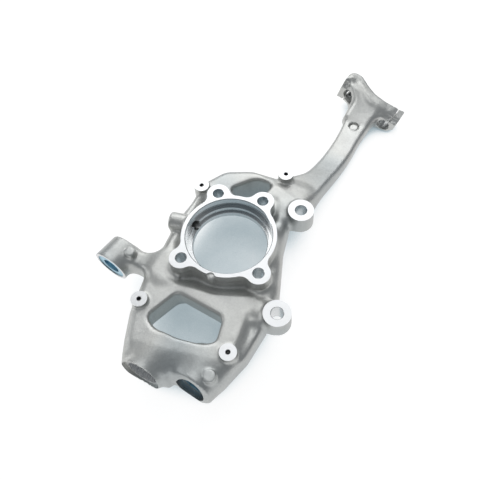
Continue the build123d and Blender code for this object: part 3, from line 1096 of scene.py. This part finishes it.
zincFinish = {
    "tones": [(0.35, (0.24, 0.45, 0.56)), (0.65, (0.38, 0.60, 0.72))],
    "cloud": 90.0,
    "roughness": 0.3,
    "metal": 0.85,
    "grain": 500.0,
    "grainHeight": 0.00002,
}


def cloudedMetal(name, finish):
    # Milled faces and blue zinc plate: two near tones in soft clouds, with a fine grain.
    material, tree, shader, place = newMaterial(name)
    tone = ramp(tree, noise(tree, place, finish["cloud"], 3.0), finish["tones"])
    grain = noise(tree, place, finish["grain"], 2.0)
    dress(tree, shader, finish, tone, finish["roughness"], [(grain, finish["grainHeight"])])
    return material


turnedFinish = {
    # tones: painted shade, the bored metal lighter at Y = 0 and darker towards +Y
    "tones": [(0.45, (0.66, 0.675, 0.68)), (0.80, (0.50, 0.54, 0.56))],
    "paintedShadeReach": 0.06,
    "roughness": (0.16, 0.32),
    "metal": 1.0,
    "squeeze": (0.02, 0.02, 1.0),
    "feed": 800.0,
    "ridge": 0.00004,
}


def turnedMetal():
    # Bored walls: tool rings that follow the height, over a metal with painted shade that darkens it towards
    # +Y, the neck's side, standing in for the dark reflection there.
    material, tree, shader, place = newMaterial("turnedBorePaintedShade")
    parts = tree.nodes.new("ShaderNodeSeparateXYZ")
    tree.links.new(place, parts.inputs[0])
    # painted shade: a share that grows with Object Y up to the reach and picks the darker tone towards the
    # neck's side
    across = span(tree, parts.outputs["Y"], 0.0, turnedFinish["paintedShadeReach"], 0.0, 1.0)
    squeeze = tree.nodes.new("ShaderNodeMapping")
    squeeze.inputs["Scale"].default_value = turnedFinish["squeeze"]
    tree.links.new(place, squeeze.inputs["Vector"])
    rings = noise(tree, squeeze.outputs["Vector"], turnedFinish["feed"], 3.0, 0.7)
    roughness = span(tree, rings, 0.3, 0.7, *turnedFinish["roughness"])
    tone = ramp(tree, across, turnedFinish["tones"])
    dress(tree, shader, turnedFinish, tone, roughness, [(rings, turnedFinish["ridge"])])
    return material


drilledFinish = {
    "colour": (0.46, 0.47, 0.47, 1.0),
    "roughness": (0.26, 0.42),
    "metal": 1.0,
    "scratch": 500.0,
    "depth": 0.00004,
}


def drilledMetal():
    # Drilled walls: a darker metal, slightly scratched all ways.
    material, tree, shader, place = newMaterial("drilledHole")
    scratches = noise(tree, place, drilledFinish["scratch"], 3.0, 0.6)
    roughness = span(tree, scratches, 0.3, 0.7, *drilledFinish["roughness"])
    layers = [(scratches, drilledFinish["depth"])]
    dress(tree, shader, drilledFinish, drilledFinish["colour"], roughness, layers)
    return material


# The knuckle itself

print("casting")
castMaterial = castMetal()
machinedMaterial = cloudedMetal("machinedFace", machinedFinish)
turnedMaterial = turnedMetal()
drilledMaterial = drilledMetal()
points, quads = castFieldMesh()
knuckle = newMesh("knuckle_casting", points, quads)
if signedVolume(knuckle.data) < 0:
    knuckle.data.flip_normals()
knuckle.data.materials.append(castMaterial)
machine(knuckle, allCutters(castMaterial, machinedMaterial, turnedMaterial, drilledMaterial))
knuckle.data.shade_smooth()
knuckle.data.set_sharp_from_angle(angle=math.radians(skin["sharpAngle"]))
knuckle.data.calc_loop_triangles()
print("machined", len(knuckle.data.loop_triangles), "triangles")
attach(knuckle, "root")
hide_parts("knuckle_body")

zincMaterial = cloudedMetal("bluePlate", zincFinish)
for name in ("tie_rod_sleeve", "lower_link_sleeve"):
    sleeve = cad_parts[name]
    sleeve.data.materials.clear()
    sleeve.data.materials.append(zincMaterial)
print("sleeves plated")


# The stage: a pale floor under the part with a painted shadow, soft light from above, and the camera

stage = {
    "floorSize": 6.0,
    "floorGap": 0.0002,
    "floorDiffuse": 0.25,
    "shadeReach": 0.16,
    "shadeSamples": 16,
    # shade: the colours of the floor's painted shadow, from closed in to open sky
    "shade": [(0.08, (0.23, 0.29, 0.32)), (0.30, (0.34, 0.415, 0.45)), (0.42, (0.70, 0.75, 0.77)),
              (0.54, (0.90, 0.90, 0.90))],
    "world": (0.80, 0.84, 0.88),
    "worldStrength": 0.32,
    "lights": {
        "softTop": ((-0.30, 1.50, 1.25), (2.4, 1.6), 22.0),
        "frontFill": ((0.1, -1.6, 0.3), (1.8, 0.3), 2.5),
        "lowTop": ((-0.10, 0.22, 1.4), (0.8, 0.6), 2.2),
        "leftStrip": ((-1.5, -0.1, 0.55), (0.5, 1.2), 3.0),
    },
    "aim": (0.0, 0.08, -0.04),
}


def makeFloor():
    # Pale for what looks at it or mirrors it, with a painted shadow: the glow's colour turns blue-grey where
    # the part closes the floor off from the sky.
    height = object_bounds()[0].z - stage["floorGap"]
    half = stage["floorSize"] / 2
    mesh = bpy.data.meshes.new("floor")
    spots = [(-half, -half, height), (half, -half, height), (half, half, height), (-half, half, height)]
    mesh.from_pydata(spots, [], [(0, 1, 2, 3)])
    floor = bpy.data.objects.new("floor", mesh)
    bpy.context.scene.collection.objects.link(floor)
    material = bpy.data.materials.new("paleFloor")
    material.use_nodes = True
    tree = material.node_tree
    tree.nodes.clear()
    output = tree.nodes.new("ShaderNodeOutputMaterial")
    diffuse = tree.nodes.new("ShaderNodeBsdfDiffuse")
    diffuse.inputs["Color"].default_value = (*[stage["floorDiffuse"]] * 3, 1)
    paintedShadowMask = tree.nodes.new("ShaderNodeAmbientOcclusion")
    paintedShadowMask.samples = stage["shadeSamples"]
    paintedShadowMask.inputs["Distance"].default_value = stage["shadeReach"]
    glow = tree.nodes.new("ShaderNodeEmission")
    # painted shadow: the glow's colour follows how open the floor is to the sky
    tree.links.new(ramp(tree, paintedShadowMask.outputs["AO"], stage["shade"]), glow.inputs["Color"])
    seen = tree.nodes.new("ShaderNodeLightPath").outputs
    share = seen["Is Camera Ray"]
    for ray in ("Is Glossy Ray", "Is Transmission Ray"):
        either = tree.nodes.new("ShaderNodeMath")
        either.operation = "MAXIMUM"
        tree.links.new(share, either.inputs[0])
        tree.links.new(seen[ray], either.inputs[1])
        share = either.outputs[0]
    tree.links.new(share, glow.inputs["Strength"])
    total = tree.nodes.new("ShaderNodeAddShader")
    tree.links.new(diffuse.outputs[0], total.inputs[0])
    tree.links.new(glow.outputs[0], total.inputs[1])
    tree.links.new(total.outputs[0], output.inputs["Surface"])
    mesh.materials.append(material)


def makeLights():
    # Each light has a place, a size and a power, and looks at the aim.
    for name, (place, size, power) in stage["lights"].items():
        data = bpy.data.lights.new(name, "AREA")
        data.shape = "RECTANGLE"
        data.size, data.size_y = size
        data.energy = power
        light = bpy.data.objects.new(name, data)
        light.location = place
        light.rotation_mode = "QUATERNION"
        light.rotation_quaternion = (Vector(stage["aim"]) - Vector(place)).to_track_quat("-Z", "Y")
        bpy.context.scene.collection.objects.link(light)
    world = bpy.data.worlds.new("studio")
    world.use_nodes = True
    back = world.node_tree.nodes["Background"]
    back.inputs["Color"].default_value = (*stage["world"], 1)
    back.inputs["Strength"].default_value = stage["worldStrength"]
    bpy.context.scene.world = world


camera = {
    "place": (113.99, -288.92, 487.89),
    "right": (0.96748224, 0.24747828, -0.05227446),
    "down": (0.18467768, -0.83235394, -0.5225716),
    "forward": (-0.17283597, 0.49592481, -0.85099137),
    "lens": 36.866,
    "sensor": 36.0,
    "clip": (0.01, 20.0),
}


def makeCamera():
    data = bpy.data.cameras.new("camera")
    data.lens = camera["lens"]
    data.sensor_width = camera["sensor"]
    data.clip_start, data.clip_end = camera["clip"]
    eye = bpy.data.objects.new("camera", data)
    up, back = -Vector(camera["down"]), -Vector(camera["forward"])
    turn = Matrix((camera["right"], up, back)).transposed()
    eye.rotation_mode = "QUATERNION"
    eye.rotation_quaternion = turn.to_quaternion()
    eye.location = Vector(camera["place"]) * metre
    bpy.context.scene.collection.objects.link(eye)
    bpy.context.scene.camera = eye


makeFloor()
makeLights()
makeCamera()
bpy.context.scene.view_settings.view_transform = "Standard"
print("stage set")
